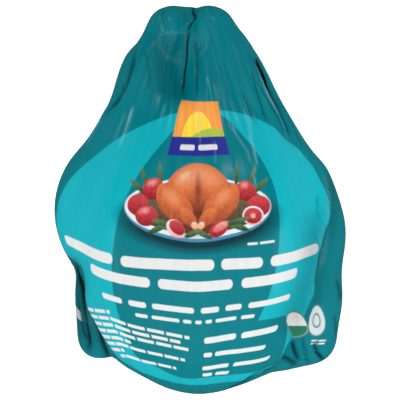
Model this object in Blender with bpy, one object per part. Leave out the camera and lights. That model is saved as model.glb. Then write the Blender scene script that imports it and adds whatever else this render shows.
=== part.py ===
"""A whole raw turkey in a closed, printed shrink bag, lying on its back with the breast up.

The bag is opaque and shut, so bird and bag are one solid. The film is a UV sphere whose
points are drawn in along rays until they touch the bird, which is a blend of named lobes:
breast, thighs, drumsticks, wings and back. Folds are then pressed into the film.

Metres, +Z up. X runs across the breast, and Y from the neck end to the legs.
The origin is the middle of the pack's footprint, on the floor.
"""

import math

import bmesh
import bpy
import numpy as np

# Driving dimensions
PACK_LENGTH = 0.389
PACK_WIDTH = 0.291
FILM_TENSION = 0.0085    # how widely the film bridges the hollows between two lobes

# Mesh of the film: a UV sphere whose rays fan out from a line along the pack
SEGMENTS = 96
RINGS = 60
TOP_DENSITY = 0.35       # how much closer the points lie on the breast than on the back
SPINE_Z = 0.080
SPINE_HALF = 0.170
SPINE_SPREAD = 1.5       # above 1, the rays start closer together towards the spine's ends
LEAN_POWER = 5           # how late the rays start to lean over towards the ends
SEARCH_RADIUS = 0.30
SEARCH_STEPS = 26

# Evening out of the mesh
RELAX_STEPS = 60
RELAX_SHARE = 0.5
RETURN_STEPS = 2
SLOPE_STEP = 0.0005

# The folds fade out where the film turns down: full above one slope, none below the other
FOLD_FULL_SLOPE = 0.2
FOLD_NO_SLOPE = -0.2

TEAL = (0.002, 0.190, 0.225, 1.0)

# Lobes of the bird: (centre, radii, turn about Z in degrees)
ELLIPSOIDS = {
    "breast_left": ((-0.040, -0.052, 0.098), (0.074, 0.126, 0.084), 3.0),
    "breast_right": ((0.042, -0.052, 0.098), (0.074, 0.126, 0.084), -3.0),
    "keel": ((0.000, -0.058, 0.106), (0.060, 0.124, 0.084), 0.0),
    "neck_end": ((0.002, -0.118, 0.074), (0.070, 0.074, 0.056), 0.0),
    "belly": ((0.000, 0.020, 0.085), (0.090, 0.105, 0.062), 0.0),
    "thigh_left": ((-0.091, -0.014, 0.070), (0.051, 0.064, 0.058), 4.0),
    "thigh_right": ((0.094, -0.040, 0.070), (0.052, 0.078, 0.060), -4.0),
    "calf_left": ((-0.049, 0.118, 0.080), (0.025, 0.044, 0.034), -8.0),
    "calf_right": ((0.040, 0.108, 0.080), (0.026, 0.046, 0.034), 12.0),
    "elbow_left": ((-0.100, -0.102, 0.040), (0.021, 0.056, 0.032), 3.0),
    "wing_left": ((-0.092, -0.118, 0.058), (0.020, 0.036, 0.032), 6.0),
    "wing_right": ((0.102, -0.113, 0.056), (0.041, 0.054, 0.044), 0.0),
    "web_left": ((-0.048, -0.134, 0.064), (0.034, 0.028, 0.034), 0.0),
    "web_right": ((0.056, -0.138, 0.062), (0.042, 0.033, 0.036), 0.0),
    "back": ((0.000, -0.020, 0.036), (0.104, 0.140, 0.040), 0.0),
    "tail": ((-0.004, 0.100, 0.056), (0.056, 0.066, 0.040), 0.0),
}

# Tapered limbs: (thick end, thin end, thick radius, thin radius)
LIMBS = {
    "drumstick_left": ((-0.076, 0.022, 0.076), (-0.022, 0.164, 0.086), 0.042, 0.025),
    "drumstick_right": ((0.074, 0.016, 0.076), (0.012, 0.164, 0.086), 0.048, 0.025),
}

# Folds of the film over the upper side: (depth, half width, path of (X, Y) points).
# A negative depth is a ridge.
FOLDS = {
    "cleft": (0.010, 0.010, ((-0.004, 0.205), (-0.009, 0.175), (-0.013, 0.140), (-0.015, 0.108))),
    "hock_left": (0.003, 0.007, ((-0.041, 0.166), (-0.034, 0.150), (-0.019, 0.138))),
    "hock_right": (0.003, 0.007, ((0.009, 0.172), (0.010, 0.155), (0.001, 0.143))),
    "leg_fold_right": (0.006, 0.007, ((0.058, 0.142), (0.062, 0.125), (0.073, 0.105), (0.090, 0.060))),
    "leg_fold_left": (0.005, 0.007, ((-0.065, 0.150), (-0.077, 0.112), (-0.086, 0.098))),
    "shoulder_fold_right": (0.002, 0.008, ((0.030, 0.165), (0.040, 0.100), (0.064, 0.080))),
    "side_ridge_right": (-0.003, 0.010, ((0.126, 0.030), (0.127, -0.045), (0.114, -0.092))),
    "wing_fold_left": (0.008, 0.008, ((-0.122, -0.070), (-0.110, -0.100), (-0.092, -0.150))),
    "wing_fold_right": (0.004, 0.008, ((0.094, -0.140), (0.104, -0.170))),
}


def ellipsoid_distance(points, centre, radii, turn_deg):
    """Roughly how far each point is outside an ellipsoid turned about Z."""
    turn = math.radians(turn_deg)
    x, y, z = (points - np.array(centre)).T
    across = x * math.cos(turn) + y * math.sin(turn)
    along = y * math.cos(turn) - x * math.sin(turn)
    local = np.stack([across, along, z], axis=1)
    radii = np.array(radii)
    reach = np.linalg.norm(local / radii, axis=1)
    steepness = np.linalg.norm(local / radii**2, axis=1)
    return reach * (reach - 1.0) / np.maximum(steepness, 1e-9)


def limb_distance(points, thick_end, thin_end, thick_radius, thin_radius):
    """Distance from a round limb that tapers from one end to the other."""
    start = np.array(thick_end)
    axis = np.array(thin_end) - start
    share = np.clip((points - start) @ axis / (axis @ axis), 0.0, 1.0)
    nearest = start + share[:, None] * axis
    radius = thick_radius + (thin_radius - thick_radius) * share
    return np.linalg.norm(points - nearest, axis=1) - radius


def bird_distance(points):
    """Distance outside the film, which blends the lobes and bridges their hollows."""
    distances = [ellipsoid_distance(points, *lobe) for lobe in ELLIPSOIDS.values()]
    distances += [limb_distance(points, *limb) for limb in LIMBS.values()]
    pull = -np.stack(distances) / FILM_TENSION
    return -FILM_TENSION * np.logaddexp.reduce(pull, axis=0)


def outward(points):
    """Unit direction away from the bird at each point, from small differences."""
    slope = np.empty_like(points)
    for axis in range(3):
        offset = np.zeros(3)
        offset[axis] = SLOPE_STEP
        slope[:, axis] = bird_distance(points + offset) - bird_distance(points - offset)
    return slope / np.linalg.norm(slope, axis=1)[:, None]


def shrink_onto_bird(direction):
    """Draws each point of the unit sphere in along a ray until it meets the bird.

    The sphere's poles are on Y. The rays start along the spine, square to it in the
    middle of the pack, and lean over towards its ends.
    """
    latitude = np.arcsin(np.clip(direction[:, 1], -1.0, 1.0)) / (math.pi / 2)
    end = np.abs(latitude)
    lean = (math.pi / 2) * np.sign(latitude) * end**LEAN_POWER
    turn = np.arctan2(direction[:, 2], direction[:, 0])
    around = turn + TOP_DENSITY * np.cos(turn)
    start = np.zeros_like(direction)
    start[:, 1] = SPINE_HALF * np.sign(latitude) * (1.0 - (1.0 - end) ** SPINE_SPREAD)
    start[:, 2] = SPINE_Z
    flat = np.cos(lean)
    rays = np.stack([flat * np.cos(around), np.sin(lean), flat * np.sin(around)], axis=1)
    inside = np.zeros(len(start))
    outside = np.full(len(start), SEARCH_RADIUS)
    for _ in range(SEARCH_STEPS):
        middle = (inside + outside) / 2
        free = bird_distance(start + rays * middle[:, None]) > 0
        outside = np.where(free, middle, outside)
        inside = np.where(free, inside, middle)
    return start + rays * inside[:, None]


def relax_film(points, edges):
    """Evens out the spacing of the points, which stay on the film."""
    one, other = edges.T
    neighbours = np.bincount(edges.ravel(), minlength=len(points))[:, None]
    for _ in range(RELAX_STEPS):
        total = np.zeros_like(points)
        np.add.at(total, one, points[other])
        np.add.at(total, other, points[one])
        points = points + RELAX_SHARE * (total / neighbours - points)
        for _ in range(RETURN_STEPS):
            points = points - outward(points) * bird_distance(points)[:, None]
    return points


def distance_to_path(points, path):
    """Distance from each point to a path, both seen from above."""
    nearest = np.full(len(points), np.inf)
    for start, end in zip(path[:-1], path[1:]):
        start = np.array(start)
        leg = np.array(end) - start
        share = np.clip((points[:, :2] - start) @ leg / (leg @ leg), 0.0, 1.0)
        gap = np.linalg.norm(points[:, :2] - start - share[:, None] * leg, axis=1)
        nearest = np.minimum(nearest, gap)
    return nearest


def press_folds(points):
    """Presses the named folds into the film where it faces up."""
    normal = outward(points)
    slope_range = FOLD_FULL_SLOPE - FOLD_NO_SLOPE
    facing_up = np.clip((normal[:, 2] - FOLD_NO_SLOPE) / slope_range, 0.0, 1.0)
    sink = np.zeros(len(points))
    for depth, half_width, path in FOLDS.values():
        sink += depth * np.exp(-((distance_to_path(points, path) / half_width) ** 2))
    return points - normal * (sink * facing_up)[:, None]


def settle(points):
    """Brings the pack to its length and width, resting on the floor above the origin."""
    low = points.min(axis=0)
    size = points.max(axis=0) - low
    middle = low + size / 2
    points = points - (middle[0], middle[1], 0.0)
    return points * (PACK_WIDTH / size[0], PACK_LENGTH / size[1], 1.0)


def film_mesh():
    """The film as a mesh: a UV sphere with its poles on Y, drawn onto the bird."""
    form = bmesh.new()
    bmesh.ops.create_uvsphere(form, u_segments=SEGMENTS, v_segments=RINGS, radius=1.0)
    direction = np.array([(v.co.x, v.co.z, -v.co.y) for v in form.verts])
    edges = np.array([[v.index for v in edge.verts] for edge in form.edges])
    points = press_folds(relax_film(shrink_onto_bird(direction), edges))
    points[:, 2] = np.maximum(points[:, 2], 0.0)
    for vertex, place in zip(form.verts, settle(points)):
        vertex.co = place
    mesh = bpy.data.meshes.new("bagged_turkey")
    form.to_mesh(mesh)
    form.free()
    return mesh


def film_material():
    material = bpy.data.materials.new("printed_film")
    material.use_nodes = True
    shader = material.node_tree.nodes["Principled BSDF"]
    shader.inputs["Base Color"].default_value = TEAL
    shader.inputs["Roughness"].default_value = 0.35
    shader.inputs["Metallic"].default_value = 0.0
    return material


def clear_scene():
    for old in list(bpy.data.objects):
        bpy.data.objects.remove(old)


def main():
    clear_scene()
    pack = bpy.data.collections.new("bagged_turkey")
    bpy.context.scene.collection.children.link(pack)
    turkey = bpy.data.objects.new("bagged_turkey", film_mesh())
    turkey.data.materials.append(film_material())
    turkey.data.shade_smooth()
    pack.objects.link(turkey)


main()
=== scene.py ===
"""The looks of a bagged whole turkey: a printed shrink film, drawn tight over the bird.

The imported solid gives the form. A fine mesh made from it takes the film's folds and wrinkles.
The print is worked out in the film's own coordinates: U runs round the pack from the middle
of the breast, and V runs along it from the neck end to the legs. Both are in metres.
"""

import math

import bmesh
import bpy
import numpy as np
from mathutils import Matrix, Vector, noise


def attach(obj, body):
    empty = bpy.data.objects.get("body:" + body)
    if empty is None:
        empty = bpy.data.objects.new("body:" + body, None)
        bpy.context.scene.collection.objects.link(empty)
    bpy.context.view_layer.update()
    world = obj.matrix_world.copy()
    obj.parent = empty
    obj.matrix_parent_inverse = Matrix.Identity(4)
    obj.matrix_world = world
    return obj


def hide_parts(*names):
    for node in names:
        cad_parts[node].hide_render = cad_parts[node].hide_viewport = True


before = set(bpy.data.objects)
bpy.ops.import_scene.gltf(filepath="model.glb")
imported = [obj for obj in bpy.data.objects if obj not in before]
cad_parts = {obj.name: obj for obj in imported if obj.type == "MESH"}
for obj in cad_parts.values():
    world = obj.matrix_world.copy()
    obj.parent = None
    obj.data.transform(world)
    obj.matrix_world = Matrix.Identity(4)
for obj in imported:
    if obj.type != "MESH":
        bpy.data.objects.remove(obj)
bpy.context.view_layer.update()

# Film mesh
WELD_DISTANCE = 0.00002
JOIN_ANGLE = math.radians(50)    # two triangles that differ by less become one quad
SUBDIVISIONS = 2
EVENING_STEPS = 6
EVENING_SHARE = 0.5              # how far each step moves a point to its neighbours' middle

# Film coordinates
SPINE_Z = 0.080                  # height of the line that U is measured round
FILM_RADIUS = 0.115              # U is this times the angle round that line
FILM_TILT = math.radians(16)     # the print's lines rise towards the sides by this slope
PULL_CENTRE = (-0.013, 0.250)    # place beyond the legs that the drawn film's streaks run to
PULL_RADIUS = 0.200              # the place across the pull is this times the angle round it

# Dents that draw the film in, or let it out where the depth is negative: (depth, radius, centre)
DENTS = {
    "hock_left": (0.0092, 0.016, (-0.063, 0.163, 0.060)),
    "hock_left_top": (0.0034, 0.014, (-0.061, 0.165, 0.086)),
    "shoulder_left": (0.0030, 0.016, (-0.099, 0.085, 0.060)),
    "hock_right": (0.0015, 0.014, (0.052, 0.168, 0.060)),
    "knuckle_left": (-0.0030, 0.014, (-0.043, 0.183, 0.075)),
    "knuckle_right": (-0.0020, 0.012, (0.030, 0.186, 0.075)),
    "leg_hollow": (0.0030, 0.016, (-0.030, 0.135, 0.112)),
    "leg_hollow_low": (0.0030, 0.016, (-0.026, 0.112, 0.128)),
    "breast_side": (-0.0085, 0.020, (-0.098, -0.098, 0.115)),
    "breast_side_low": (-0.0045, 0.020, (-0.092, -0.127, 0.115)),
    "elbow_left": (-0.0025, 0.020, (-0.126, -0.072, 0.050)),
    "wing_tip_left": (-0.0065, 0.018, (-0.111, -0.147, 0.045)),
    "wing_notch_left": (0.0032, 0.014, (-0.084, -0.160, 0.055)),
    "front_left": (0.0030, 0.022, (-0.056, -0.174, 0.098)),
    "wing_tip_right": (-0.0085, 0.020, (0.122, -0.148, 0.050)),
    "wing_front_right": (-0.0030, 0.018, (0.086, -0.166, 0.050)),
    "side_right": (-0.0025, 0.030, (0.142, -0.035, 0.060)),
    "side_right_low": (-0.0035, 0.026, (0.139, -0.090, 0.055)),
}

# Folds seen from above: (depth, half width on the left, half width on the right,
# half width of the dark line of painted shade, its strength, path of (X, Y) points).
# The narrow side is the steep one. The ones with almost no depth are mostly painted shade.
# The painted shade stops at 1, so a larger one only widens the black part of the line.
CREASES = {
    "leg_gap_end": (0.0018, 0.0014, 0.0010, 0.0010, 0.9, [
        (-0.005, 0.195), (-0.006, 0.187), (-0.004, 0.181), (-0.008, 0.175), (-0.012, 0.166)
    ]),
    "leg_gap": (0.0032, 0.0050, 0.0011, 0.0010, 1.0, [
        (-0.010, 0.169), (-0.012, 0.157), (-0.013, 0.142), (-0.015, 0.126), (-0.017, 0.101)
    ]),
    "leg_gap_side": (0.0014, 0.0010, 0.0034, 0.0009, 0.6, [
        (-0.006, 0.160), (-0.003, 0.143), (-0.003, 0.128), (-0.003, 0.100)
    ]),
    "hock_tuck": (0.0010, 0.0012, 0.0026, 0.0009, 0.35, [
        (-0.036, 0.190), (-0.037, 0.179), (-0.036, 0.168)
    ]),
    "leg_left": (0.0030, 0.0012, 0.0038, 0.0011, 0.65, [
        (-0.063, 0.150), (-0.068, 0.130), (-0.073, 0.115), (-0.082, 0.100), (-0.094, 0.085)
    ]),
    "leg_left_edge": (0.0016, 0.0014, 0.0020, 0.0009, 0.5, [
        (-0.074, 0.118), (-0.079, 0.106), (-0.084, 0.093)
    ]),
    "leg_left_inner": (0.0014, 0.0040, 0.0014, 0.0010, 0.40, [
        (-0.056, 0.152), (-0.051, 0.138), (-0.048, 0.120), (-0.050, 0.106)
    ]),
    "leg_right_inner": (0.0016, 0.0012, 0.0030, 0.0010, 0.7, [
        (0.052, 0.128), (0.056, 0.110), (0.061, 0.094), (0.066, 0.076)
    ]),
    "leg_right_inner_2": (0.0010, 0.0026, 0.0011, 0.0008, 0.35, [
        (0.041, 0.108), (0.049, 0.090), (0.056, 0.074)
    ]),
    "leg_right": (0.0028, 0.0018, 0.0040, 0.0021, 2.4, [
        (0.057, 0.142), (0.060, 0.134), (0.064, 0.124), (0.068, 0.115), (0.071, 0.109)
    ]),
    "leg_right_low": (0.0024, 0.0018, 0.0040, 0.0026, 0.85, [
        (0.066, 0.119), (0.069, 0.112), (0.073, 0.104), (0.078, 0.095), (0.082, 0.087)
    ]),
    "leg_right_tail": (0.0030, 0.0014, 0.0026, 0.0012, 0.8, [
        (0.070, 0.109), (0.076, 0.098), (0.082, 0.086), (0.087, 0.074), (0.089, 0.062)
    ]),
    "leg_right_middle": (0.0016, 0.0012, 0.0026, 0.0010, 0.5, [
        (0.060, 0.112), (0.068, 0.100), (0.075, 0.088), (0.081, 0.077), (0.084, 0.066)
    ]),
    "leg_right_lip": (0.0014, 0.0011, 0.0016, 0.0009, 0.3, [
        (0.078, 0.106), (0.086, 0.090), (0.096, 0.068), (0.104, 0.048)
    ]),
    "wing_left": (0.0050, 0.0028, 0.0012, 0.0026, 1.7, [
        (-0.124, -0.062), (-0.119, -0.088), (-0.116, -0.110), (-0.113, -0.130), (-0.109, -0.152)
    ]),
    "wing_left_root": (0.0020, 0.0030, 0.0030, 0.0026, 1.0, [
        (-0.120, -0.072), (-0.115, -0.088), (-0.108, -0.108), (-0.101, -0.126), (-0.096, -0.145),
        (-0.092, -0.160), (-0.090, -0.172)
    ]),
    "wing_left_hollow": (0.0010, 0.0060, 0.0060, 0.0110, 0.45, [
        (-0.130, -0.056), (-0.123, -0.090), (-0.117, -0.120), (-0.106, -0.152)
    ]),
    "leg_hollow": (0.0006, 0.0080, 0.0080, 0.0130, 0.34, [
        (-0.032, 0.165), (-0.036, 0.140), (-0.034, 0.115), (-0.030, 0.095)
    ]),
    "wing_left_fold": (0.0014, 0.0030, 0.0014, 0.0014, 0.80, [
        (-0.125, -0.096), (-0.121, -0.116), (-0.117, -0.134), (-0.110, -0.148)
    ]),
    "corner_right_1": (0.0018, 0.0018, 0.0034, 0.0022, 0.95, [
        (0.092, -0.138), (0.095, -0.150), (0.100, -0.162)
    ]),
    "corner_right_2": (0.0012, 0.0024, 0.0016, 0.0014, 0.55, [
        (0.102, -0.136), (0.106, -0.152), (0.109, -0.164)
    ]),
    "corner_right_3": (0.0018, 0.0016, 0.0030, 0.0018, 0.95, [
        (0.114, -0.140), (0.118, -0.153), (0.126, -0.160)
    ]),
    "corner_right_4": (0.0016, 0.0034, 0.0016, 0.0011, 0.50, [
        (0.135, -0.112), (0.138, -0.126), (0.137, -0.142)
    ]),
    "corner_right_5": (0.0016, 0.0030, 0.0016, 0.0012, 0.55, [
        (0.137, -0.078), (0.140, -0.090), (0.141, -0.102)
    ]),
    "corner_right_6": (0.0018, 0.0024, 0.0024, 0.0026, 0.85, [
        (0.082, -0.154), (0.090, -0.160), (0.098, -0.166)
    ]),
    "front_right": (0.0018, 0.0036, 0.0036, 0.0016, 0.45, [
        (0.046, -0.178), (0.062, -0.169), (0.078, -0.168)
    ]),
    "front_right_edge": (0.0016, 0.0024, 0.0024, 0.0024, 0.55, [
        (0.026, -0.189), (0.037, -0.184), (0.049, -0.177), (0.058, -0.172), (0.067, -0.167)
    ]),
    "side_right": (0.0020, 0.0034, 0.0018, 0.0010, 0.35, [(0.116, 0.006), (0.117, -0.020)]),
    "side_right_low": (0.0026, 0.0016, 0.0040, 0.0022, 0.45, [
        (0.127, -0.020), (0.122, -0.042), (0.117, -0.064), (0.113, -0.084)
    ]),
    "side_right_hollow": (0.0006, 0.0060, 0.0060, 0.0065, 0.30, [
        (0.121, -0.062), (0.116, -0.084), (0.116, -0.108)
    ]),
    "side_right_shade": (0.0004, 0.0060, 0.0060, 0.0060, 0.30, [
        (0.130, 0.030), (0.132, 0.000), (0.128, -0.050)
    ]),
    "breast_right_shade": (0.0004, 0.0080, 0.0080, 0.0150, 0.36, [
        (0.113, -0.006), (0.114, -0.040), (0.110, -0.068), (0.102, -0.090), (0.094, -0.110),
        (0.080, -0.132)
    ]),
    "breast_right_hollow": (0.0008, 0.0080, 0.0080, 0.0085, 0.16, [
        (0.096, -0.066), (0.104, -0.080), (0.106, -0.104)
    ]),
}

# Ridges seen from above, where tight film stands up in a line:
# (height, half width, strength of the painted glint along it, path)
RIDGES = {
    "bag_seam": (0.0005, 0.0010, 0.14, [(-0.042, 0.163), (-0.024, 0.165), (-0.012, 0.165)]),
    "knuckle_left": (0.0009, 0.0022, 0.08, [
        (-0.041, 0.163), (-0.038, 0.152), (-0.032, 0.144), (-0.024, 0.139), (-0.014, 0.137)
    ]),
    "knuckle_left_top": (0.0005, 0.0009, 0.24, [
        (-0.039, 0.183), (-0.037, 0.172), (-0.035, 0.164)
    ]),
    "knuckle_right": (0.0007, 0.0020, 0.06, [
        (0.008, 0.165), (0.007, 0.152), (0.001, 0.143), (-0.004, 0.137)
    ]),
    "pull_left": (0.0008, 0.0016, 0.36, [(-0.064, 0.092), (-0.070, 0.070), (-0.078, 0.050)]),
    "pull_left_2": (0.0005, 0.0011, 0.26, [(-0.071, 0.088), (-0.078, 0.070), (-0.083, 0.056)]),
    "pull_left_3": (0.0005, 0.0011, 0.20, [(-0.096, 0.082), (-0.106, 0.066), (-0.112, 0.054)]),
    "pull_right": (0.0008, 0.0014, 0.40, [
        (0.043, 0.100), (0.048, 0.080), (0.050, 0.058), (0.054, 0.042)
    ]),
    "pull_right_2": (0.0006, 0.0010, 0.40, [
        (0.047, 0.062), (0.053, 0.048), (0.055, 0.035), (0.052, 0.025), (0.055, 0.008)
    ]),
    "pull_right_3": (0.0006, 0.0010, 0.28, [
        (0.029, 0.077), (0.038, 0.060), (0.046, 0.048), (0.051, 0.032)
    ]),
    "pull_middle": (0.0006, 0.0012, 0.30, [(-0.001, 0.098), (0.000, 0.075), (0.001, 0.050)]),
    "pull_middle_2": (0.0005, 0.0011, 0.30, [(0.015, 0.058), (0.016, 0.045), (0.016, 0.034)]),
    "slit_edge": (0.0005, 0.0007, 0.42, [
        (0.057, 0.134), (0.061, 0.120), (0.065, 0.111), (0.070, 0.101), (0.074, 0.094),
        (0.080, 0.083)
    ]),
    "slit_edge_2": (0.0005, 0.0007, 0.34, [(0.081, 0.082), (0.085, 0.069), (0.087, 0.058)]),
    "side_right": (0.0014, 0.0028, 0.12, [
        (0.121, 0.028), (0.127, 0.004), (0.126, -0.014), (0.122, -0.031), (0.119, -0.052)
    ]),
    "wing_right": (0.0012, 0.0028, 0.04, [(0.119, -0.056), (0.113, -0.078), (0.109, -0.098)]),
}

# Folds fade out where the film turns down: none below the first slope, full above the second
FOLD_SLOPES = (-0.05, 0.15)
TAPER_SHARE = 0.2                # a fold fades out over this share of its length at each end
TAPER_POWER = 0.7

# Soft wrinkles from noise: (height, spacing across, spacing along, seed)
LEG_WRINKLES = (0.0007, 0.014, 0.090, 1.7)
BREAST_WRINKLES = (0.0006, 0.026, 0.120, 5.3)
UNDER_WRINKLES = (0.0011, 0.018, 0.070, 9.1)
LEGS_FROM_V = (0.055, 0.110)     # the breast's wrinkles turn into the legs' between these
UNDER_FROM_U = (0.170, 0.220)    # and into the underside's between these
WRINKLE_FREE = (0.010, 0.060)    # distances from the spine's line over which wrinkles appear

# Colours, linear
DEEP_TEAL = (0.0008, 0.182, 0.218)
LIGHT_TEAL = (0.0050, 0.395, 0.465)
WHITE = (0.700, 0.715, 0.705)
NAVY = (0.022, 0.028, 0.270)
ORANGE = (0.880, 0.330, 0.060)
YELLOW = (0.930, 0.660, 0.050)
LEAF_LIGHT = (0.400, 0.520, 0.060)
SHADOW_TEAL = (0.002, 0.035, 0.045)
SEAL_GREEN = (0.021, 0.180, 0.108)
SEAL_PALE = (0.560, 0.640, 0.640)
SEAL_RIM = (0.060, 0.170, 0.180)
# Painted shade: the colour laid over the dark streaks and the dark lines of the folds
PAINTED_SHADE = (0.0004, 0.004, 0.005)
# Painted glint: the light colour of the thin threads along the ridges
PAINTED_GLINT = (0.380, 0.700, 0.750)
ROAST_DEEP = (0.150, 0.030, 0.015)
ROAST_DARK = (0.330, 0.062, 0.026)
ROAST = (0.700, 0.175, 0.055)
ROAST_LIGHT = (0.780, 0.330, 0.150)
BONE = (0.760, 0.560, 0.400)
FRUIT_DARK = (0.270, 0.010, 0.020)
FRUIT = (0.600, 0.060, 0.070)
FRUIT_LIGHT = (0.830, 0.380, 0.340)
LEAF_DARK = (0.020, 0.050, 0.022)
LEAF = (0.110, 0.210, 0.080)
PLATE_UNDER = (0.060, 0.230, 0.380)
PLATE = (0.700, 0.780, 0.810)
PLATE_BED = (0.045, 0.045, 0.025)
BED_LIGHT = (0.160, 0.130, 0.080)

PRINT_EDGE = 0.0004              # half the width of the soft step at a printed edge
CORNER_ROUNDING = 0.0005

# The light band is an egg-shaped field joined to a box, and cut off on three sides.
# An egg is (centre, half width, reach above, reach below, power, lean), and a box is
# (left, right, low, high, rounding). A slanted cut is a place that it passes through, and how
# far it rises over a metre of U, or how far it leans to the right over a metre of V.
BAND_EGG = ((-0.017, -0.045), 0.163, 0.144, 0.118, 2.8, 0.21)
BAND_BOX = (-0.010, 0.1385, -0.1635, -0.040, 0.022)
BAND_JOIN = 0.012                # how softly the two run into each other
BAND_RIGHT = 0.149               # U of the cut on the right
BAND_DENT = (-0.052, 0.056, 0.0165)  # V, half height and depth of the dent in that cut
BAND_LOW_SLANT = ((-0.0551, -0.1599), -0.253)
BAND_LOW = -0.1590
BAND_LOW_ROUNDING = 0.006
BAND_LEFT = (-0.150, -0.100)     # the left cut is upright below this place, and leans above it
BAND_LEFT_LEAN = -0.875
BAND_LEFT_BEND = 0.040
BAND_LEFT_ROUNDING = 0.045

# The deep panel within the band: an egg, and below it a field with a rounded left corner
PANEL_EGG = ((-0.003, -0.020), 0.082, 0.118, 0.129, 2.6, 0.13)
PANEL_TOP = -0.086
PANEL_CORNER = (-0.0650, -0.1250)
PANEL_CORNER_RADIUS = 0.0225
PANEL_SLANT = ((-0.0425, -0.1480), -0.46)
PANEL_SLANT_ROUNDING = 0.008
PANEL_RIGHT = ((0.098, -0.086), -0.72)

# The plaque: boxes, ovals of (centre, radii), and a line as in LINES
PLAQUE = (-0.041, 0.040, 0.070, 0.106)
SUN = ((-0.002, 0.078), (0.025, 0.020))
HILL = ((0.022, 0.060), (0.050, 0.024))
PLAQUE_FOOT = (-0.042, 0.041, 0.063, 0.0775)
PLAQUE_LINE = (0.0695, 0.0042, [(-0.027, -0.006), (-0.001, 0.027)])

# The seals are ovals of (centre, radii, turn in degrees). The pale one has rings within it,
# each a share of its size.
GREEN_SEAL_RIM = ((0.1298, -0.1045), (0.0340, 0.0096), -31.5)
GREEN_SEAL = ((0.1298, -0.1045), (0.0318, 0.0085), -31.5)
GREEN_SEAL_LEVEL = ((0.1298, -0.1055), -0.28)    # green below this slanted line, white above it
PALE_SEAL = ((0.1608, -0.1089), (0.0207, 0.0074), -60.8)
PALE_SEAL_RINGS = [(1.0, SEAL_RIM), (0.90, SEAL_PALE), (0.45, SEAL_RIM), (0.34, SEAL_PALE)]
SEAL_LINES = [
    (-0.0762, 0.0015, [(0.1670, 0.1715), (0.1725, 0.1790)], -0.325),
    (-0.0791, 0.0015, [(0.1690, 0.1735), (0.1745, 0.1795)], -0.325),
]
WING_LABEL = (-0.216, -0.1935, -0.1215, -0.1125)

# Small rows of bars
ROWS_TOP = -0.0797
ROW_PITCH = 0.0066
ROW_HEIGHT = 0.0034
BAR_LENGTH = 0.0210              # the rows repeat a bar and a gap over this length
BAR_GAP = 0.0026
BAR_ROUNDING = 0.45              # share of a large bar's height
ROW_STEP = 0.37                  # each row's bars start at another place, which
ROW_STEP_REACH = 5.0             # runs over this many bars
ARCH_PEAK = -0.100               # U from which the rows fall away to both sides
ARCH_SLOPE_LEFT = 0.21
ARCH_SLOPE_RIGHT = 0.11

# Lines of bars: (middle, height, each bar's left and right end, rise to both sides)
LINES = [
    (-0.0115, 0.0022, [(0.048, 0.058), (0.060, 0.075)]),
    (-0.0280, 0.0100, [(-0.162, -0.086), (-0.077, 0.015), (0.022, 0.063), (0.071, 0.133)], -0.02),
    (-0.0480, 0.0095, [(-0.119, -0.049), (-0.041, 0.034), (0.043, 0.104)], 0.02),
    (-0.0715, 0.0056, [(-0.104, -0.080), (-0.073, -0.055), (-0.049, -0.005),
                       (0.002, 0.021), (0.028, 0.045), (0.052, 0.098)], 0.04),
    (-0.0830, 0.0036, [(-0.068, -0.055), (-0.051, -0.021), (-0.017, -0.008),
                       (-0.004, 0.003), (0.007, 0.014), (0.018, 0.041), (0.046, 0.060)], 0.045),
    (-0.1030, 0.0066, [(0.006, 0.044), (0.050, 0.092)], 0.06),
    (-0.1190, 0.0050, [(0.006, 0.017), (0.021, 0.085)], 0.03),
    (-0.1350, 0.0048, [(0.005, 0.045), (0.052, 0.104)], 0.03),
    (-0.1435, 0.0042, [(0.006, 0.022), (0.028, 0.051)]),
]

# Small rows of bars: each row's left and right end
SMALL_ROWS = [
    (-0.150, -0.099), (-0.150, -0.011), (-0.150, -0.022), (-0.150, -0.013),
    (-0.147, -0.084), (-0.141, -0.019), (-0.133, -0.100), (-0.117, -0.035),
]

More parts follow.
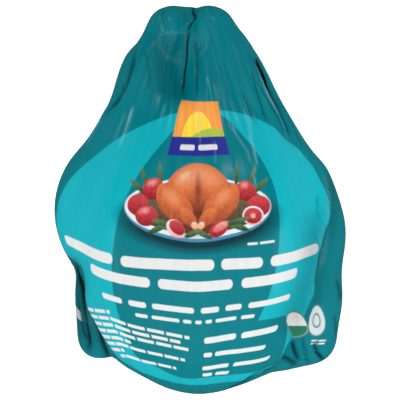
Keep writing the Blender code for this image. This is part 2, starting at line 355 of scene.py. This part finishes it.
# The picture, from back to front: (centre, radii, turn in degrees, dark, light, softness).
# Softness is the share of an oval that fades out. Without it, the edge is a printed one.
PLATTER = [
    ((0.000, 0.011), (0.078, 0.027), 0, SHADOW_TEAL, SHADOW_TEAL, 0.16),
    ((-0.001, 0.0190), (0.0745, 0.0265), 0, PLATE_UNDER, PLATE_UNDER),
    ((-0.001, 0.0210), (0.0750, 0.0255), 0, PLATE, PLATE),
    ((-0.001, 0.0220), (0.0700, 0.0225), 0, PLATE_BED, BED_LIGHT),
    ((-0.066, 0.037), (0.0110, 0.0022), -28, LEAF_DARK, LEAF),
    ((-0.060, 0.043), (0.0120, 0.0020), -50, LEAF_DARK, LEAF),
    ((-0.045, 0.047), (0.0110, 0.0020), -70, LEAF_DARK, LEAF),
    ((0.066, 0.037), (0.0120, 0.0022), 30, LEAF_DARK, LEAF),
    ((0.059, 0.044), (0.0120, 0.0020), 52, LEAF_DARK, LEAF),
    ((0.044, 0.047), (0.0110, 0.0020), 72, LEAF_DARK, LEAF),
    ((-0.050, 0.036), (0.0105, 0.0090), 0, FRUIT_DARK, FRUIT),
    ((-0.052, 0.040), (0.0044, 0.0026), 15, FRUIT, FRUIT_LIGHT, 0.6),
    ((0.051, 0.034), (0.0100, 0.0085), 0, FRUIT_DARK, FRUIT),
    ((0.050, 0.038), (0.0040, 0.0024), 15, FRUIT, FRUIT_LIGHT, 0.6),
    ((-0.063, 0.022), (0.0105, 0.0090), 0, FRUIT_DARK, FRUIT),
    ((0.062, 0.021), (0.0115, 0.0090), 0, FRUIT_DARK, FRUIT),
    ((-0.036, 0.027), (0.0150, 0.0080), -62, ROAST_DARK, ROAST),
    ((0.034, 0.027), (0.0150, 0.0080), 62, ROAST_DARK, ROAST),
    ((-0.001, 0.0335), (0.0370, 0.0240), 0, ROAST_DARK, ROAST),
    ((-0.015, 0.0430), (0.0150, 0.0085), 24, ROAST, ROAST_LIGHT, 0.6),
    ((0.014, 0.0430), (0.0130, 0.0075), -24, ROAST, ROAST_LIGHT, 0.6),
    ((-0.001, 0.0370), (0.0028, 0.0095), 0, ROAST_DEEP, ROAST_DARK, 0.95),
    ((-0.018, 0.0460), (0.0060, 0.0026), 28, ROAST_LIGHT, BONE, 0.9),
    ((-0.001, 0.0120), (0.0300, 0.0120), 0, ROAST_DEEP, ROAST_DEEP, 0.5),
    ((-0.0235, 0.0225), (0.0195, 0.0125), -32, ROAST_DARK, ROAST),
    ((0.0215, 0.0225), (0.0195, 0.0125), 32, ROAST_DARK, ROAST),
    ((-0.0105, 0.0135), (0.0110, 0.0058), -40, ROAST_DARK, ROAST),
    ((0.0085, 0.0135), (0.0110, 0.0058), 40, ROAST_DARK, ROAST),
    ((-0.0270, 0.0275), (0.0100, 0.0046), -32, ROAST, ROAST_LIGHT, 0.7),
    ((0.0240, 0.0275), (0.0095, 0.0042), 32, ROAST, ROAST_LIGHT, 0.7),
    ((-0.0042, 0.0068), (0.0038, 0.0030), -40, ROAST_LIGHT, BONE),
    ((0.0022, 0.0068), (0.0038, 0.0030), 40, ROAST_LIGHT, BONE),
    ((-0.053, 0.013), (0.0110, 0.0088), 0, FRUIT_DARK, FRUIT),
    ((-0.056, 0.0165), (0.0046, 0.0026), 20, FRUIT, FRUIT_LIGHT, 0.6),
    ((0.055, 0.0130), (0.0105, 0.0082), 0, FRUIT_LIGHT, PLATE),
    ((0.055, 0.0130), (0.0088, 0.0068), 0, FRUIT_DARK, FRUIT),
    ((0.055, 0.0130), (0.0022, 0.0020), 0, FRUIT_LIGHT, FRUIT_LIGHT, 0.5),
    ((-0.040, 0.0030), (0.0120, 0.0026), 24, LEAF_DARK, LEAF),
    ((-0.036, 0.0075), (0.0110, 0.0024), -12, LEAF_DARK, LEAF),
    ((0.038, 0.0050), (0.0130, 0.0028), -20, LEAF_DARK, LEAF),
    ((0.040, 0.0090), (0.0110, 0.0024), 14, LEAF_DARK, LEAF),
    ((-0.0235, 0.0035), (0.0100, 0.0070), -30, FRUIT_LIGHT, PLATE),
    ((-0.0220, 0.0045), (0.0086, 0.0054), -30, FRUIT_DARK, FRUIT),
    ((0.0200, 0.0030), (0.0105, 0.0062), 24, FRUIT_DARK, FRUIT),
    ((0.0215, 0.0048), (0.0082, 0.0034), 24, FRUIT, FRUIT_LIGHT),
    ((-0.0060, 0.0000), (0.0090, 0.0026), 22, LEAF_DARK, LEAF),
    ((0.0050, -0.0010), (0.0090, 0.0024), -22, LEAF_DARK, LEAF),
]

# Surface of the film. A noise is (scale across, scale along, detail), and a larger scale is
# finer.
# The streaks are painted shade: dark streaks along the legs, strongest where the film is drawn
STREAK_NOISE = (230.0, 9.0, 2.0)
STREAK_RANGE = (0.35, 0.65)      # the noise between these makes the streaks
STREAK_SHADE = (0.04, 0.27)      # least and most shade of the streaks
STREAK_REST = 0.20               # share of that shade where the film isn't drawn
DRAWN_V = (0.075, 0.130)         # the film is drawn beyond these
DRAWN_U = (0.19, 0.25)           # and no longer beyond these, on the underside
# Noise that breaks the painted glints into thin threads
THREAD_NOISE = (1300.0, 20.0, 2.0)
THREAD_RANGE = (0.42, 0.62)
GRAIN_NOISE = (300.0, 300.0, 4.0)
GRAIN = 0.20                     # how far the grain mottles the picture
GLOSS_NOISE = (30.0, 30.0, 4.0)
NOISE_RANGE = (0.3, 0.7)         # nearly all of the noise lies between these
ROUGHNESS = (0.19, 0.30)
SPECULAR_LEVEL = 0.08            # the photo's film has hardly any gloss
RIPPLE_NOISE = (60.0, 26.0, 2.0)
RIPPLE_V = (-0.190, -0.165)      # no ripples at the tip of the neck end
BUMP_DRAWN = 0.75                # how much more the streaks stand out where the film is drawn
BUMP_REST = 0.12
BUMP_DISTANCE = 0.0006
BUMP_STRENGTH = 0.6

PURE_WHITE = (1.0, 1.0, 1.0, 1.0)

# Floor
FLOOR_SIZE = 12.0
FLOOR_GREY = 0.93
FLOOR_ROUGHNESS = 0.7
FLOOR_GLOW = 0.42                # keeps the floor white next to the pack

# Soft lights: (name, place, size, power in watts)
LIGHTS = [
    ("side_left", (-1.90, -0.30, 0.80), (1.0, 0.6), 6.0),
    ("side_right", (1.90, -0.30, 0.80), (1.0, 0.6), 8.0),
    ("back", (0.10, 1.55, 1.25), (0.6, 0.16), 7.0),
]
LIGHT_AIM = (0.0, 0.0, 0.1)

# The sky's brightness: a vector times the direction, plus a share that is even above the horizon
SKY_LEAN = (0.02, -0.66, 1.45)
SKY_EVEN = 0.06
SKY_LEAST = 0.04
HORIZON = (-0.02, 0.08)          # the sky grows from dark to full between these heights

CAMERA_PLACE = (0.001, 0.0, 1.88)
LENS = 162.0
SENSOR_WIDTH = 36.0


def fine_film_mesh():
    """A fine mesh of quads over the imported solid."""
    form = bmesh.new()
    form.from_mesh(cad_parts["bagged_turkey"].data)
    bmesh.ops.remove_doubles(form, verts=form.verts, dist=WELD_DISTANCE)
    bmesh.ops.join_triangles(
        form, faces=form.faces, angle_face_threshold=JOIN_ANGLE, angle_shape_threshold=JOIN_ANGLE
    )
    cage = bpy.data.meshes.new("film_cage")
    form.to_mesh(cage)
    form.free()
    holder = bpy.data.objects.new("film_cage", cage)
    bpy.context.scene.collection.objects.link(holder)
    smooth = holder.modifiers.new("smooth", "SUBSURF")
    smooth.levels = smooth.render_levels = SUBDIVISIONS
    subdivided = holder.evaluated_get(bpy.context.evaluated_depsgraph_get())
    mesh = bpy.data.meshes.new_from_object(subdivided)
    bpy.data.objects.remove(holder)
    return mesh


def even_out(mesh):
    """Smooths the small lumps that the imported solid's triangles leave in the mesh."""
    places = vertex_places(mesh)
    edges = np.empty(len(mesh.edges) * 2, dtype=np.int32)
    mesh.edges.foreach_get("vertices", edges)
    one, other = edges.reshape(-1, 2).T
    neighbours = np.bincount(edges, minlength=len(places))
    for _ in range(EVENING_STEPS):
        for axis in range(3):
            column = places[:, axis]
            total = np.bincount(one, column[other], len(places))
            total += np.bincount(other, column[one], len(places))
            places[:, axis] = column + EVENING_SHARE * (total / neighbours - column)
    mesh.vertices.foreach_set("co", places.ravel())
    mesh.update()


def film_coordinates(points):
    """U and V of each point of the film."""
    rise = points[:, 2] - SPINE_Z
    around = np.arctan2(points[:, 0], rise) * FILM_RADIUS
    along = points[:, 1] * math.cos(FILM_TILT) + rise * math.sin(FILM_TILT)
    return around, along


def path_reach(points, path):
    """Where each point lies beside a path, both seen from above.

    Returns its distance from the path, the share of the path's length at the nearest place,
    and whether it lies to the right of that place.
    """
    stops = np.array(path)
    legs = np.diff(stops, axis=0)
    lengths = np.linalg.norm(legs, axis=1)
    nearest = np.full(len(points), np.inf)
    share = np.zeros(len(points))
    on_right = np.zeros(len(points), dtype=bool)
    for index, leg in enumerate(legs):
        on_leg = np.clip((points[:, :2] - stops[index]) @ leg / lengths[index] ** 2, 0.0, 1.0)
        offset = points[:, :2] - stops[index] - on_leg[:, None] * leg
        gap = np.linalg.norm(offset, axis=1)
        closer = gap < nearest
        nearest = np.where(closer, gap, nearest)
        reached = (lengths[:index].sum() + on_leg * lengths[index]) / lengths.sum()
        share = np.where(closer, reached, share)
        on_right = np.where(closer, offset[:, 0] > 0, on_right)
    return nearest, share, on_right


def taper(share):
    """1 along the middle of a path, and 0 at its ends."""
    return np.clip(np.minimum(share, 1.0 - share) / TAPER_SHARE, 0.0, 1.0) ** TAPER_POWER


def bell(gap, half_width):
    """1 at no gap, and soft towards 0 beyond half_width."""
    return np.exp(-((gap / half_width) ** 2))


def wrinkles(around, along, height, spacing_across, spacing_along, seed):
    """Long, sharp-topped wrinkles from noise."""
    rows = zip(around / spacing_across, along / spacing_along)
    waves = np.array([noise.noise(Vector((u, v, seed))) for u, v in rows])
    return height * (1.0 - 2.0 * np.abs(waves))


def smooth_step(value, start, end):
    """0 up to start, 1 from end on, and soft between them."""
    share = np.clip((value - start) / (end - start), 0.0, 1.0)
    return share * share * (3.0 - 2.0 * share)


def vertex_places(mesh):
    places = np.empty(len(mesh.vertices) * 3)
    mesh.vertices.foreach_get("co", places)
    return places.reshape(-1, 3)


def fold_film(mesh):
    """Presses the folds into the film. Returns each vertex's share of painted shade and of painted
    glint.
    """
    points = vertex_places(mesh)
    count = len(points)
    normals = np.array([n.vector for n in mesh.vertex_normals])
    around, along = film_coordinates(points)
    facing_up = smooth_step(normals[:, 2], *FOLD_SLOPES)
    lift = np.zeros(count)
    shade = np.zeros(count)
    white = np.zeros(count)
    for depth, radius, centre in DENTS.values():
        lift -= depth * bell(np.linalg.norm(points - np.array(centre), axis=1), radius)
    for depth, left_width, right_width, line_width, darkness, path in CREASES.values():
        gap, share, on_right = path_reach(points, path)
        strength = taper(share) * facing_up
        lift -= depth * strength * bell(gap, np.where(on_right, right_width, left_width))
        line = darkness * strength * bell(gap, line_width)
        shade = np.maximum(shade, np.minimum(line, 1.0))
    for height, half_width, glint_strength, path in RIDGES.values():
        gap, share, _ = path_reach(points, path)
        form = taper(share) * facing_up * bell(gap, half_width)
        lift += height * form
        white = np.maximum(white, glint_strength * form)
    legs = smooth_step(along, *LEGS_FROM_V)
    under = smooth_step(np.abs(around), *UNDER_FROM_U)
    wrinkled = legs * wrinkles(around, along, *LEG_WRINKLES)
    wrinkled += (1.0 - legs) * (1.0 - under) * wrinkles(around, along, *BREAST_WRINKLES)
    wrinkled += under * wrinkles(around, along, *UNDER_WRINKLES)
    from_spine = np.hypot(points[:, 0], points[:, 2] - SPINE_Z)
    lift += wrinkled * smooth_step(from_spine, *WRINKLE_FREE)
    lift -= np.average(lift)
    points += normals * lift[:, None]
    points[:, 2] = np.maximum(points[:, 2], 0.0)
    mesh.vertices.foreach_set("co", points.ravel())
    mesh.update()
    return shade, white


def pull_coordinates(points):
    """Each point's place across and along the lines that run to PULL_CENTRE, seen from above."""
    offset = points[:, :2] - np.array(PULL_CENTRE)
    return np.arctan2(offset[:, 0], -offset[:, 1]) * PULL_RADIUS, np.linalg.norm(offset, axis=1)


def store_map(mesh, name, across, along, turn=math.inf):
    """Writes two numbers of each vertex to a UV map.

    across starts again after a turn, but is kept unbroken within a face. All faces are quads.
    """
    corners = np.empty(len(mesh.loops), dtype=np.int32)
    mesh.loops.foreach_get("vertex_index", corners)
    sideways = across[corners].reshape(-1, 4)
    broken = np.ptp(sideways, axis=1)[:, None] > turn / 2
    if broken.any():
        sideways = np.where(broken & (sideways < 0), sideways + turn, sideways)
    places = np.stack([sideways.ravel(), along[corners]], axis=1)
    mesh.uv_layers.new(name=name).data.foreach_set("uv", places.ravel())


class Number:
    """A number that varies over the surface. Arithmetic on it adds Math nodes."""

    def __init__(self, tree, socket):
        self.tree = tree
        self.socket = socket

    def apply(self, operation, *others):
        node = self.tree.nodes.new("ShaderNodeMath")
        node.operation = operation
        for slot, term in enumerate((self, *others)):
            if isinstance(term, Number):
                self.tree.links.new(term.socket, node.inputs[slot])
            else:
                node.inputs[slot].default_value = term
        return Number(self.tree, node.outputs[0])

    def __add__(self, other):
        return self.apply("ADD", other)

    def __sub__(self, other):
        return self.apply("SUBTRACT", other)

    def __mul__(self, other):
        return self.apply("MULTIPLY", other)

    def __truediv__(self, other):
        return self.apply("DIVIDE", other)

    def __pow__(self, other):
        return self.apply("POWER", other)

    def __neg__(self):
        return self.apply("MULTIPLY", -1.0)

    def size(self):
        return self.apply("ABSOLUTE")

    def least(self, other):
        return self.apply("MINIMUM", other)

    def most(self, other):
        return self.apply("MAXIMUM", other)

    def round_least(self, other, reach):
        """The smaller of two numbers, rounded over where they are closer than reach."""
        return self.apply("SMOOTH_MIN", other, reach)

    def round_most(self, other, reach):
        """The larger of two numbers, rounded over where they are closer than reach."""
        return self.apply("SMOOTH_MAX", other, reach)

    def rest(self):
        """What is left above the whole number below."""
        return self.apply("FRACT")

    def over(self, start, end, low=0.0, high=1.0):
        """low at start, high at end, and straight between them."""
        node = self.tree.nodes.new("ShaderNodeMapRange")
        self.tree.links.new(self.socket, node.inputs["Value"])
        node.inputs["From Min"].default_value = start
        node.inputs["From Max"].default_value = end
        node.inputs["To Min"].default_value = low
        node.inputs["To Max"].default_value = high
        return Number(self.tree, node.outputs["Result"])


def corner_gap(across, up):
    """Length of the part of an offset that lies beyond zero on both axes."""
    return (across.most(0.0) ** 2.0 + up.most(0.0) ** 2.0) ** 0.5


class Print:
    """The printed film: colours laid over each other, from the bottom up."""

    def __init__(self, tree):
        self.tree = tree
        self.place = self.map("film")
        self.pull = self.map("pull")
        parts = tree.nodes.new("ShaderNodeSeparateXYZ")
        tree.links.new(self.place, parts.inputs["Vector"])
        self.u = Number(tree, parts.outputs["X"])
        self.v = Number(tree, parts.outputs["Y"])
        self.grain = self.noise(self.place, *GRAIN_NOISE).over(*NOISE_RANGE, -GRAIN, GRAIN)
        self.streaks = self.noise(self.pull, *STREAK_NOISE)
        self.drawn = self.v.over(*DRAWN_V) * self.u.size().over(*DRAWN_U, 1.0, 0.0)
        base = tree.nodes.new("ShaderNodeRGB")
        base.outputs[0].default_value = (*DEEP_TEAL, 1.0)
        self.colour = base.outputs[0]

    def map(self, name):
        node = self.tree.nodes.new("ShaderNodeUVMap")
        node.uv_map = name
        return node.outputs["UV"]

    def noise(self, place, scale_across, scale_along, detail):
        """Noise over one of the maps."""
        mapping = self.tree.nodes.new("ShaderNodeMapping")
        mapping.inputs["Scale"].default_value = (scale_across, scale_along, 1.0)
        self.tree.links.new(place, mapping.inputs["Vector"])
        node = self.tree.nodes.new("ShaderNodeTexNoise")
        node.inputs["Scale"].default_value = 1.0
        node.inputs["Detail"].default_value = detail
        self.tree.links.new(mapping.outputs["Vector"], node.inputs["Vector"])
        return Number(self.tree, node.outputs["Fac"])

    def stored(self, name):
        """A number stored on the mesh."""
        node = self.tree.nodes.new("ShaderNodeAttribute")
        node.attribute_name = name
        return Number(self.tree, node.outputs["Fac"])

    def inside(self, distance):
        """1 where the distance outside a shape is below zero, and 0 elsewhere."""
        return distance.over(PRINT_EDGE, -PRINT_EDGE)

    def above(self, place, slope):
        """Height above a straight line through a place, which rises by slope."""
        return self.v - place[1] - (self.u - place[0]) * slope

    def right_of(self, place, lean):
        """Distance to the right of a line through a place, which leans by lean."""
        return self.u - place[0] - (self.v - place[1]) * lean

    def mix(self, share, under, over):
        """Two colours, each a tuple or a socket, mixed by a number."""
        mix = self.tree.nodes.new("ShaderNodeMix")
        mix.data_type = "RGBA"
        self.tree.links.new(share.socket, mix.inputs["Factor"])
        for name, colour in (("A", under), ("B", over)):
            if isinstance(colour, tuple):
                mix.inputs[name].default_value = (*colour, 1.0)
            else:
                self.tree.links.new(colour, mix.inputs[name])
        return mix.outputs["Result"]

    def paint(self, mask, colour):
        """Lays a colour over what is there."""
        self.colour = self.mix(mask, self.colour, colour)

    def egg(self, centre, half_width, top, bottom, power, lean):
        """Distance outside a rounded field whose middle line leans."""
        lift = self.v - centre[1]
        across = ((self.u - centre[0] - lift * lean) / half_width).size() ** power
        up = (lift.most(0.0) / top) ** power
        down = ((-lift).most(0.0) / bottom) ** power
        return ((across + up + down) ** (1.0 / power) - 1.0) * min(half_width, top, bottom)

    def box(self, left, right, low, high, rounding=CORNER_ROUNDING):
        """Distance outside a box with rounded corners."""
        across = (self.u - (left + right) / 2).size() - ((right - left) / 2 - rounding)
        up = (self.v - (low + high) / 2).size() - ((high - low) / 2 - rounding)
        return corner_gap(across, up) - rounding

    def oval(self, centre, radii, turn_deg=0.0):
        """How far out a point is in an oval: 0 in its middle, and 1 at its edge."""
        mapping = self.tree.nodes.new("ShaderNodeMapping")
        mapping.vector_type = "TEXTURE"
        mapping.inputs["Location"].default_value = (*centre, 0.0)
        mapping.inputs["Rotation"].default_value = (0.0, 0.0, math.radians(turn_deg))
        mapping.inputs["Scale"].default_value = (*radii, 1.0)
        self.tree.links.new(self.place, mapping.inputs["Vector"])
        length = self.tree.nodes.new("ShaderNodeVectorMath")
        length.operation = "LENGTH"
        self.tree.links.new(mapping.outputs["Vector"], length.inputs[0])
        return Number(self.tree, length.outputs["Value"])

    def oval_mask(self, centre, radii, turn_deg=0.0, softness=None):
        """1 within an oval, and 0 elsewhere."""
        edge = softness or PRINT_EDGE / min(radii)
        return self.oval(centre, radii, turn_deg).over(1.0 + edge, 1.0 - edge)

    def lit_oval(self, centre, radii, turn_deg, dark, light, softness=None):
        """An oval lit from above, from a dark colour at its foot to a light one, and mottled."""
        turn = math.radians(turn_deg)
        reach = math.hypot(radii[0] * math.sin(turn), radii[1] * math.cos(turn))
        height = self.v.over(centre[1] - reach, centre[1] + reach) + self.grain
        self.paint(self.oval_mask(centre, radii, turn_deg, softness), self.mix(height, dark, light))

    def line(self, middle, height, words, rise=0.0):
        """A line of rounded bars, each with a left and right end. It rises to both sides."""
        rounding = height * BAR_ROUNDING
        level = self.v - self.u.size() * rise if rise else self.v
        up = (level - middle).size() - (height / 2 - rounding)
        across = None
        for left, right in words:
            reach = (self.u - (left + right) / 2).size() - ((right - left) / 2 - rounding)
            across = reach if across is None else across.least(reach)
        self.paint(self.inside(corner_gap(across, up) - rounding), WHITE)

    def rows(self, ends):
        """Rows of small bars. ends holds each row's left and right end.

        A colour ramp holds a row in each step: its two ends, and where its bars start.
        """
        left_end = min(left for left, _ in ends)
        span = max(right for _, right in ends) - left_end
        aside = self.u - ARCH_PEAK
        arch = (aside * ARCH_SLOPE_RIGHT).most(aside * -ARCH_SLOPE_LEFT)
        place = (self.v + arch - ROWS_TOP) / -ROW_PITCH
        lookup = self.tree.nodes.new("ShaderNodeValToRGB")
        lookup.color_ramp.interpolation = "CONSTANT"
        self.tree.links.new((place / len(ends)).socket, lookup.inputs["Fac"])
        stops = lookup.color_ramp.elements
        for index, (left, right) in enumerate(ends):
            stop = stops[index] if index < 2 else stops.new(index / len(ends))
            stop.position = index / len(ends)
            shift = (index * ROW_STEP) % 1.0
            stop.color = ((left - left_end) / span, (right - left_end) / span, shift, 1.0)
        parts = self.tree.nodes.new("ShaderNodeSeparateColor")
        self.tree.links.new(lookup.outputs["Color"], parts.inputs["Color"])
        left, right, shift = (
            Number(self.tree, parts.outputs[name]) for name in ("Red", "Green", "Blue")
        )
        share = (self.u - left_end) / span
        across = (left - share).most(share - right) * span
        bar = (self.u / BAR_LENGTH + shift * ROW_STEP_REACH).rest() - 0.5
        gap = (bar.size() - 0.5) * BAR_LENGTH + BAR_GAP / 2
        up = (place.rest() - 0.5).size() * ROW_PITCH - ROW_HEIGHT / 2
        block = (-place).most(place - float(len(ends))) * ROW_PITCH
        self.paint(self.inside(across.most(up).most(gap).most(block)), WHITE)


def paint_fields(film):
    """The light oval band round the panel that carries the picture and the lines."""
    middle, half_height, depth = BAND_DENT
    dent = (-(((film.v - middle) / half_height) ** 2.0) + 1.0).most(0.0) ** 2.0
    right = film.u - BAND_RIGHT + dent * depth
    left = -(film.u - BAND_LEFT[0])
    left = left.round_least(-film.right_of(BAND_LEFT, BAND_LEFT_LEAN), BAND_LEFT_BEND)
    low = (-film.above(*BAND_LOW_SLANT)).most(-(film.v - BAND_LOW))
    band = film.egg(*BAND_EGG).round_least(film.box(*BAND_BOX), BAND_JOIN)
    band = band.most(right).round_most(low, BAND_LOW_ROUNDING)
    film.paint(film.inside(band.round_most(left, BAND_LEFT_ROUNDING)), LIGHT_TEAL)
    film.paint(film.inside(film.egg(*PANEL_EGG)), DEEP_TEAL)
    corner = corner_gap(-(film.u - PANEL_CORNER[0]), -(film.v - PANEL_CORNER[1]))
    field = corner - PANEL_CORNER_RADIUS
    field = field.round_most(-film.above(*PANEL_SLANT), PANEL_SLANT_ROUNDING)
    field = field.most(film.right_of(*PANEL_RIGHT)).most(film.v - PANEL_TOP)
    film.paint(film.inside(field), DEEP_TEAL)


def paint_badge(film):
    """A plain plaque: a half sun over a hill, with a blank band below."""
    plaque = film.inside(film.box(*PLAQUE))
    film.paint(plaque, ORANGE)
    film.paint(film.oval_mask(*SUN) * plaque, YELLOW)
    film.paint(film.oval_mask(*HILL) * plaque, LEAF_LIGHT)
    film.paint(film.inside(film.box(*PLAQUE_FOOT)), NAVY)
    film.line(*PLAQUE_LINE)


def paint_platter(film):
    """A roast bird on a platter, made of plain ovals."""
    for piece in PLATTER:
        film.lit_oval(*piece)


def paint_lines(film):
    """Rounded bars in place of the lines of text."""
    for line in LINES:
        film.line(*line)
    film.rows(SMALL_ROWS)


def paint_seals(film):
    """Two plain oval seals and a plain label at the wing."""
    film.paint(film.oval_mask(*GREEN_SEAL_RIM), SEAL_RIM)
    seal = film.oval_mask(*GREEN_SEAL)
    film.paint(seal, WHITE)
    film.paint(seal * film.inside(film.above(*GREEN_SEAL_LEVEL)), SEAL_GREEN)
    centre, radii, turn_deg = PALE_SEAL
    for size, colour in PALE_SEAL_RINGS:
        film.paint(film.oval_mask(centre, (radii[0] * size, radii[1] * size), turn_deg), colour)
    for line in SEAL_LINES:
        film.line(*line)
    film.paint(film.inside(film.box(*WING_LABEL)), WHITE)


def film_bump(film):
    """Fine streaks along the legs, where the film is drawn tight, and faint ripples elsewhere."""
    streaks = film.streaks * (film.drawn * BUMP_DRAWN + BUMP_REST)
    ripples = film.noise(film.place, *RIPPLE_NOISE) * film.v.over(*RIPPLE_V)
    bump = film.tree.nodes.new("ShaderNodeBump")
    bump.inputs["Distance"].default_value = BUMP_DISTANCE
    bump.inputs["Strength"].default_value = BUMP_STRENGTH
    film.tree.links.new((streaks + ripples).socket, bump.inputs["Height"])
    return bump.outputs["Normal"]


def film_material():
    material = bpy.data.materials.new("printed_film")
    material.use_nodes = True
    tree = material.node_tree
    shader = tree.nodes["Principled BSDF"]
    film = Print(tree)
    paint_fields(film)
    paint_badge(film)
    paint_platter(film)
    paint_lines(film)
    paint_seals(film)
    # Painted shade: dark streaks along the legs, then the dark lines of the folds
    streak_share = film.drawn * (1.0 - STREAK_REST) + STREAK_REST
    film.paint(film.streaks.over(*STREAK_RANGE, *STREAK_SHADE) * streak_share, PAINTED_SHADE)
    film.paint(film.stored("painted_crease_shade"), PAINTED_SHADE)
    # Painted glints: light threads along the ridges, kept in the drawn attribute
    glint_threads = film.noise(film.pull, *THREAD_NOISE).over(*THREAD_RANGE)
    film.paint(film.stored("drawn") * glint_threads, PAINTED_GLINT)
    tree.links.new(film.colour, shader.inputs["Base Color"])
    roughness = film.noise(film.place, *GLOSS_NOISE).over(*NOISE_RANGE, *ROUGHNESS)
    tree.links.new(roughness.socket, shader.inputs["Roughness"])
    shader.inputs["Specular IOR Level"].default_value = SPECULAR_LEVEL
    tree.links.new(film_bump(film), shader.inputs["Normal"])
    return material


def make_film():
    mesh = fine_film_mesh()
    even_out(mesh)
    pull = pull_coordinates(vertex_places(mesh))
    shade, white = fold_film(mesh)
    store_map(mesh, "film", *film_coordinates(vertex_places(mesh)), 2.0 * math.pi * FILM_RADIUS)
    store_map(mesh, "pull", *pull)
    # The folds' painted shade, stored on each vertex
    mesh.attributes.new("painted_crease_shade", "FLOAT", "POINT").data.foreach_set("value", shade)
    # The ridges' painted glints, stored as drawn
    mesh.attributes.new("drawn", "FLOAT", "POINT").data.foreach_set("value", white)
    mesh.materials.clear()
    mesh.materials.append(film_material())
    mesh.shade_smooth()
    film = bpy.data.objects.new("film", mesh)
    bpy.context.scene.collection.objects.link(film)
    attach(film, "root")
    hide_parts("bagged_turkey")


def make_floor():
    bpy.ops.mesh.primitive_plane_add(size=FLOOR_SIZE)
    floor = bpy.context.active_object
    floor.name = "floor"
    material = bpy.data.materials.new("floor")
    material.use_nodes = True
    shader = material.node_tree.nodes["Principled BSDF"]
    shader.inputs["Base Color"].default_value = (FLOOR_GREY, FLOOR_GREY, FLOOR_GREY, 1.0)
    shader.inputs["Roughness"].default_value = FLOOR_ROUGHNESS
    shader.inputs["Emission Color"].default_value = PURE_WHITE
    shader.inputs["Emission Strength"].default_value = FLOOR_GLOW
    floor.data.materials.append(material)
    floor.visible_glossy = False


def soft_light(name, place, size, power):
    """A rectangular soft light that faces the middle of the pack."""
    lamp = bpy.data.lights.new(name, "AREA")
    lamp.shape = "RECTANGLE"
    lamp.size, lamp.size_y = size
    lamp.energy = power
    holder = bpy.data.objects.new(name, lamp)
    holder.location = place
    aim = Vector(LIGHT_AIM) - Vector(place)
    holder.rotation_euler = aim.to_track_quat("-Z", "Y").to_euler()
    bpy.context.scene.collection.objects.link(holder)


def studio_sky():
    """A soft white sky, bright above and towards the neck end, and dark below the horizon."""
    world = bpy.data.worlds.new("studio")
    world.use_nodes = True
    tree = world.node_tree
    background = tree.nodes["Background"]
    background.inputs["Color"].default_value = PURE_WHITE
    direction = tree.nodes.new("ShaderNodeTexCoord").outputs["Generated"]
    lean = tree.nodes.new("ShaderNodeVectorMath")
    lean.operation = "DOT_PRODUCT"
    lean.inputs[1].default_value = SKY_LEAN
    tree.links.new(direction, lean.inputs[0])
    parts = tree.nodes.new("ShaderNodeSeparateXYZ")
    tree.links.new(direction, parts.inputs["Vector"])
    above = Number(tree, parts.outputs["Z"]).over(*HORIZON)
    glow = (Number(tree, lean.outputs["Value"]) + SKY_EVEN) * above
    tree.links.new(glow.most(SKY_LEAST).socket, background.inputs["Strength"])
    return world


def light_scene():
    for name, place, size, power in LIGHTS:
        soft_light(name, place, size, power)
    bpy.context.scene.world = studio_sky()
    bpy.context.scene.view_settings.view_transform = "Standard"


def make_camera():
    """A long lens straight above the pack, with the legs at the top of the picture."""
    data = bpy.data.cameras.new("camera")
    data.lens = LENS
    data.sensor_width = SENSOR_WIDTH
    camera = bpy.data.objects.new("camera", data)
    camera.location = CAMERA_PLACE
    bpy.context.scene.collection.objects.link(camera)
    bpy.context.scene.camera = camera


make_film()
make_floor()
light_scene()
make_camera()
